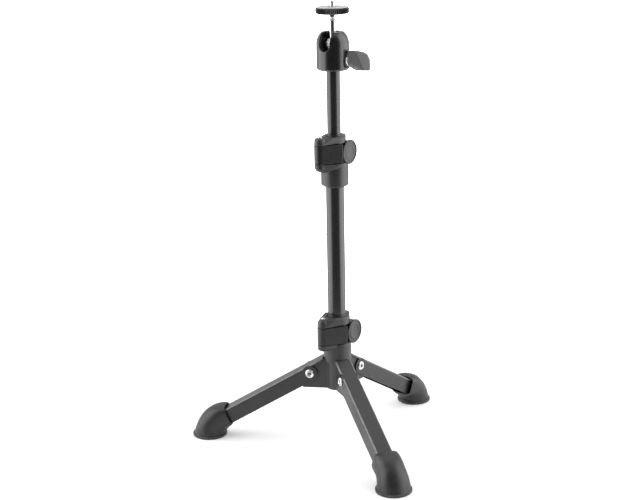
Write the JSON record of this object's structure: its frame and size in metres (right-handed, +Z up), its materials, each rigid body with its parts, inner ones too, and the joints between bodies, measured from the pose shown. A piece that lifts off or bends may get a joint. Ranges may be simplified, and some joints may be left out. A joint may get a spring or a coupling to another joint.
{
  "type": "desktop microphone stand",
  "caption": "Folding tripod desktop stand: telescoping tube column with two screw clamps, a slotted ball head with wing lock, and a knurled disc on a threaded stud.",
  "frame": {"origin": "on the floor, under the column's axis, midway between the three feet", "axes": "+Z up along the column; the picture looks along +Y, so +X is to its right"},
  "size_m": [0.2649, 0.2809, 0.4704],
  "materials": {
    "cast": "fine-textured black paint on a die casting",
    "sheet": "satin black powder coat on folded steel",
    "tube": "semi-gloss black paint on steel tube",
    "plastic": "moulded black plastic, fine grain",
    "liner": "black acetal sleeve",
    "rubber": "matt black rubber",
    "zinc": "bright zinc plate",
    "chrome": "polished nickel plate",
    "brass": "plain turned brass",
    "grip": "grey friction ring"
  },
  "bodies": {
    "base": {"hub": "cast", "lower_clamp_pin": "zinc", "lower_clamp_nut": "zinc", "lower_liner": "liner"},
    "lower_plate": {"lower_clamp_plate": "plastic"},
    "lower_washer": {"lower_clamp_washer": "zinc"},
    "lower_knob": {"lower_clamp_screw": "zinc", "lower_clamp_knob": "plastic"},
    "leg_1": {"leg_1_channel": "sheet", "leg_1_foot": "rubber", "leg_1_rivet": "zinc", "leg_1_washers": "zinc"},
    "leg_2": {"leg_2_channel": "sheet", "leg_2_foot": "rubber", "leg_2_rivet": "zinc", "leg_2_washers": "zinc"},
    "leg_3": {"leg_3_channel": "sheet", "leg_3_foot": "rubber", "leg_3_rivet": "zinc", "leg_3_washers": "zinc"},
    "lower_slider": {"lower_tube_plug": "liner"},
    "lower_column": {"lower_tube": "tube", "upper_clamp_body": "cast", "upper_clamp_pin": "zinc", "upper_clamp_nut": "zinc", "upper_liner": "liner"},
    "upper_plate": {"upper_clamp_plate": "plastic"},
    "upper_washer": {"upper_clamp_washer": "zinc"},
    "upper_knob": {"upper_clamp_screw": "zinc", "upper_clamp_knob": "plastic"},
    "upper_slider": {"upper_tube_guide": "liner"},
    "upper_column": {"upper_tube": "tube", "head_spigot": "zinc", "head_housing": "cast"},
    "cup": {"ball_cup": "brass"},
    "lock_carrier": {"lock_washer": "zinc"},
    "lock": {"lock_screw": "zinc", "lock_wing": "plastic"},
    "ball": {"ball": "chrome"},
    "stem": {"ball_stem": "chrome"},
    "stud": {"thread_stud": "chrome"},
    "pad": {"disc_pad": "grip"},
    "disc": {"knurled_disc": "plastic"}
  },
  "joints": [
    {"name": "leg_1_fold", "type": "hinge", "parent": "base", "child": "leg_1", "pos_m": [0.01096, -0.02685, 0.0773], "axis": [0.9259, 0.3778, 0], "range_deg": [0, 55]},
    {"name": "leg_2_fold", "type": "hinge", "parent": "base", "child": "leg_2", "pos_m": [0.01777, 0.02291, 0.0773], "axis": [-0.7902, 0.6129, 0], "range_deg": [0, 55]},
    {"name": "leg_3_fold", "type": "hinge", "parent": "base", "child": "leg_3", "pos_m": [-0.02873, 0.00394, 0.0773], "axis": [-0.1357, -0.9907, 0], "range_deg": [0, 55]},
    {"name": "lower_slide", "type": "slide", "parent": "base", "child": "lower_slider", "axis": [0, 0, 1], "range_m": [-0.055, 0.025]},
    {"name": "lower_swivel", "type": "hinge", "parent": "lower_slider", "child": "lower_column", "pos_m": [0, 0, 0.1229], "axis": [0, 0, 1], "continuous": true},
    {"name": "lower_plate_swing", "type": "hinge", "parent": "base", "child": "lower_plate", "pos_m": [-0.0145, -0.0145, 0.1229], "axis": [0, 0, -1], "range_deg": [0, 1.8]},
    {"name": "lower_knob_travel", "type": "slide", "parent": "base", "child": "lower_washer", "axis": [0.8192, -0.5736, 0], "range_m": [0, 0.00125]},
    {"name": "lower_knob_turn", "type": "hinge", "parent": "lower_washer", "child": "lower_knob", "pos_m": [0.00746, 0.01065, 0.1217], "axis": [0.8192, -0.5736, 0], "range_deg": [0, 540]},
    {"name": "upper_plate_swing", "type": "hinge", "parent": "lower_column", "child": "upper_plate", "pos_m": [-0.0145, -0.0145, 0.3171], "axis": [0, 0, -1], "range_deg": [0, 1.8]},
    {"name": "upper_knob_travel", "type": "slide", "parent": "lower_column", "child": "upper_washer", "axis": [0.8192, -0.5736, 0], "range_m": [0, 0.00125]},
    {"name": "upper_knob_turn", "type": "hinge", "parent": "upper_washer", "child": "upper_knob", "pos_m": [0.00596, 0.00852, 0.3159], "axis": [0.8192, -0.5736, 0], "range_deg": [0, 540]},
    {"name": "upper_slide", "type": "slide", "parent": "lower_column", "child": "upper_slider", "axis": [0, 0, 1], "range_m": [-0.06, 0.13]},
    {"name": "upper_swivel", "type": "hinge", "parent": "upper_slider", "child": "upper_column", "pos_m": [0, 0, 0.3171], "axis": [0, 0, 1], "continuous": true},
    {"name": "cup_drop", "type": "slide", "parent": "upper_column", "child": "cup", "axis": [0, 0, 1], "range_m": [-0.00085, 0]},
    {"name": "lock_travel", "type": "slide", "parent": "upper_column", "child": "lock_carrier", "axis": [0.9063, -0.4226, 0], "range_m": [0, 0.00165]},
    {"name": "lock_turn", "type": "hinge", "parent": "lock_carrier", "child": "lock", "pos_m": [0, 0, 0.4113], "axis": [0.9063, -0.4226, 0], "range_deg": [0, 720]},
    {"name": "ball_tilt", "type": "hinge", "parent": "upper_column", "child": "ball", "pos_m": [0, 0, 0.4271], "axis": [0.829, -0.5592, 0], "range_deg": [-12, 90]},
    {"name": "stem_side_tilt", "type": "hinge", "parent": "ball", "child": "stem", "pos_m": [0, 0, 0.4271], "axis": [-0.5592, -0.829, 0], "range_deg": [-6, 6]},
    {"name": "stud_turn", "type": "hinge", "parent": "stem", "child": "stud", "pos_m": [0, 0, 0.4271], "axis": [0, 0, 1], "continuous": true},
    {"name": "disc_travel", "type": "slide", "parent": "stud", "child": "pad", "axis": [0, 0, 1], "range_m": [-0.0028, 0]},
    {"name": "disc_turn", "type": "hinge", "parent": "pad", "child": "disc", "pos_m": [0, 0, 0.4574], "axis": [0, 0, 1], "range_deg": [-780, 0]}
  ],
  "couplings": [
    {"joint": "lower_knob_travel", "follows": "lower_knob_turn", "m_per_rad": 0.00012732},
    {"joint": "lower_plate_swing", "follows": "lower_knob_turn", "ratio": 0.0032},
    {"joint": "upper_knob_travel", "follows": "upper_knob_turn", "m_per_rad": 0.00012732},
    {"joint": "upper_plate_swing", "follows": "upper_knob_turn", "ratio": 0.0032},
    {"joint": "lock_travel", "follows": "lock_turn", "m_per_rad": 0.00012732},
    {"joint": "cup_drop", "follows": "lock_turn", "m_per_rad": -0.000063662},
    {"joint": "disc_travel", "follows": "disc_turn", "m_per_rad": 0.00020213}
  ]
}
